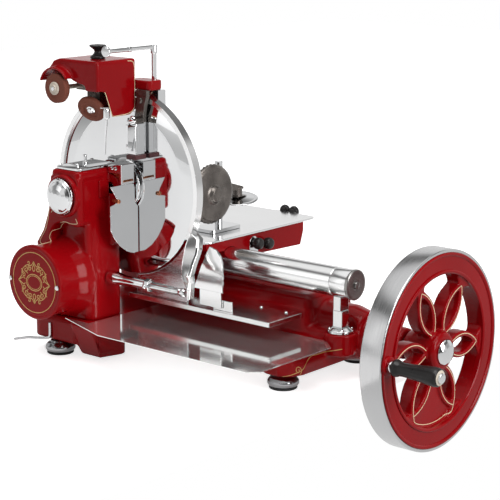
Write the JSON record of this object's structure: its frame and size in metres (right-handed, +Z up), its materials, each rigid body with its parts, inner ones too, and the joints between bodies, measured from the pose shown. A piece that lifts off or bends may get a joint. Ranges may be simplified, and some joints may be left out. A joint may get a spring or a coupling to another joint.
{
  "type": "hand crank meat slicer",
  "caption": "Counter top meat slicer turned by a hand cranked flywheel, with a large round blade, sliding carriage, receiving tray and blade sharpener.",
  "frame": {"origin": "middle of the underside of the left front foot's rubber sole, on the table plane", "axes": "+Z up; +X out along the flywheel shaft towards the crank; -Y towards the person who takes the slices, so the blade faces along Y"},
  "size_m": [0.8116, 0.4968, 0.619],
  "materials": {
    "enamel": "glossy dark red enamel with fine cream line work",
    "chrome": "mirror polished",
    "blade_steel": "mirror ground",
    "steel": "fine ground",
    "dark_steel": "oiled, dark",
    "rubber": "matt",
    "black_grip": "polished black",
    "grinding_stone": "fine grained brown abrasive",
    "felt": "dense dark felt"
  },
  "bodies": {
    "machine_frame": {"base_casting": "enamel", "foot_left_front": "chrome", "foot_right_front": "chrome", "foot_right_rear": "chrome", "foot_left_rear": "chrome", "sole_left_front": "rubber", "sole_right_front": "rubber", "sole_right_rear": "rubber", "sole_left_rear": "rubber", "drive_column": "enamel", "housing_cover": "enamel", "cover_screw_left": "chrome", "cover_screw_right": "chrome", "column_cap_plate": "chrome", "ring_guard": "chrome", "guard_strut": "chrome", "guard_bar": "chrome", "lower_guard": "steel", "slice_deflector": "chrome", "deflector_bracket": "chrome", "drive_chain": "dark_steel", "guide_tube": "chrome", "tube_end_cap": "steel", "tube_post": "chrome", "slide_bed": "chrome", "receiving_tray": "chrome", "arm_seat": "chrome"},
    "flywheel": {"flywheel_rim": "steel", "flywheel_spider": "enamel", "flywheel_cap": "chrome", "main_shaft": "steel", "crank_pin": "steel"},
    "crank_handle": {"crank_grip": "black_grip"},
    "cross_drive": {"cross_shaft": "steel"},
    "blade_set": {"blade": "blade_steel", "blade_hub": "chrome", "blade_shaft": "steel"},
    "thickness_dial": {"thickness_knob": "chrome"},
    "gauge": {"gauge_plate": "chrome"},
    "carriage_body": {"carriage": "enamel"},
    "table": {"meat_table": "chrome", "holder_post": "chrome"},
    "side_knob_a": {"side_knob_front": "black_grip"},
    "side_knob_b": {"side_knob_rear": "black_grip"},
    "stop_knob_a": {"stop_knob_left": "black_grip"},
    "stop_knob_b": {"stop_knob_right": "black_grip"},
    "holder": {"holder_arm": "dark_steel", "holder_plate": "chrome"},
    "holder_handwheel": {"holder_wheel": "dark_steel"},
    "sharpener": {"sharpener_hood": "enamel", "sharpener_arm": "enamel", "stone_frame": "dark_steel", "wiper_holder": "chrome", "wiper_felt": "felt", "lift_handle": "chrome"},
    "pull_knob": {"hood_knob": "black_grip"},
    "grinding_wheel": {"upper_stone": "grinding_stone", "stone_spindle": "chrome"},
    "honing_wheel": {"lower_stone": "grinding_stone"},
    "lever": {"release_lever": "steel"}
  },
  "joints": [
    {"name": "crank_turn", "type": "hinge", "parent": "machine_frame", "child": "flywheel", "pos_m": [0, 0.23, 0.068], "axis": [1, 0, 0], "continuous": true},
    {"name": "grip_spin", "type": "hinge", "parent": "flywheel", "child": "crank_handle", "pos_m": [0.665, 0.088, 0.076], "axis": [1, 0, 0], "continuous": true},
    {"name": "cross_shaft_turn", "type": "hinge", "parent": "machine_frame", "child": "cross_drive", "pos_m": [0.013, 0.09, 0.136], "axis": [0, 1, 0], "continuous": true},
    {"name": "blade_turn", "type": "hinge", "parent": "machine_frame", "child": "blade_set", "pos_m": [0.075, 0.09, 0.286], "axis": [0, 1, 0], "continuous": true},
    {"name": "thickness_turn", "type": "hinge", "parent": "machine_frame", "child": "thickness_dial", "pos_m": [0.04, -0.022, 0.278], "axis": [0, -1, 0], "range_deg": [0, 330]},
    {"name": "gauge_travel", "type": "slide", "parent": "machine_frame", "child": "gauge", "axis": [0, -1, 0], "range_m": [0, 0.003]},
    {"name": "carriage_stroke", "type": "slide", "parent": "machine_frame", "child": "carriage_body", "axis": [1, 0, 0], "range_m": [0, 0.2]},
    {"name": "table_feed", "type": "slide", "parent": "carriage_body", "child": "table", "axis": [0, 1, 0], "range_m": [0, 0.1]},
    {"name": "side_knob_a_turn", "type": "hinge", "parent": "carriage_body", "child": "side_knob_a", "pos_m": [0.235, 0.238, 0.184], "axis": [1, 0, 0], "range_deg": [0, 270]},
    {"name": "side_knob_b_turn", "type": "hinge", "parent": "carriage_body", "child": "side_knob_b", "pos_m": [0.235, 0.265, 0.18], "axis": [1, 0, 0], "range_deg": [0, 270]},
    {"name": "stop_knob_a_turn", "type": "hinge", "parent": "table", "child": "stop_knob_a", "pos_m": [0.149, 0.415, 0.2033], "axis": [0, 1, 0], "range_deg": [0, 270]},
    {"name": "stop_knob_b_turn", "type": "hinge", "parent": "table", "child": "stop_knob_b", "pos_m": [0.1695, 0.415, 0.2033], "axis": [0, 1, 0], "range_deg": [0, 270]},
    {"name": "holder_height", "type": "slide", "parent": "table", "child": "holder", "axis": [0, 0, 1], "range_m": [-0.012, 0.03]},
    {"name": "handwheel_turn", "type": "hinge", "parent": "holder", "child": "holder_handwheel", "pos_m": [0.185, 0.17, 0.273], "axis": [1, 0, 0], "range_deg": [0, 330]},
    {"name": "sharpener_lift", "type": "slide", "parent": "machine_frame", "child": "sharpener", "axis": [0, 0, 1], "range_m": [0, 0.045]},
    {"name": "pull_knob_travel", "type": "slide", "parent": "sharpener", "child": "pull_knob", "axis": [0, 0, 1], "range_m": [0, 0.008], "stiffness_N_per_m": 400},
    {"name": "grinding_wheel_spin", "type": "hinge", "parent": "sharpener", "child": "grinding_wheel", "pos_m": [0.02, -0.013, 0.4525], "axis": [0, -1, 0], "continuous": true},
    {"name": "honing_wheel_spin", "type": "hinge", "parent": "sharpener", "child": "honing_wheel", "pos_m": [0.067, 0.018, 0.42], "axis": [0.2198, -0.8193, -0.5296], "continuous": true},
    {"name": "lever_swing", "type": "hinge", "parent": "machine_frame", "child": "lever", "pos_m": [-0.007, -0.0167, 0.042], "axis": [0, 0, 1], "range_deg": [0, 35]}
  ],
  "couplings": [
    {"joint": "cross_shaft_turn", "follows": "crank_turn", "ratio": -1},
    {"joint": "blade_turn", "follows": "crank_turn", "ratio": -3.5},
    {"joint": "gauge_travel", "follows": "thickness_turn", "m_per_rad": 0.00052087}
  ]
}
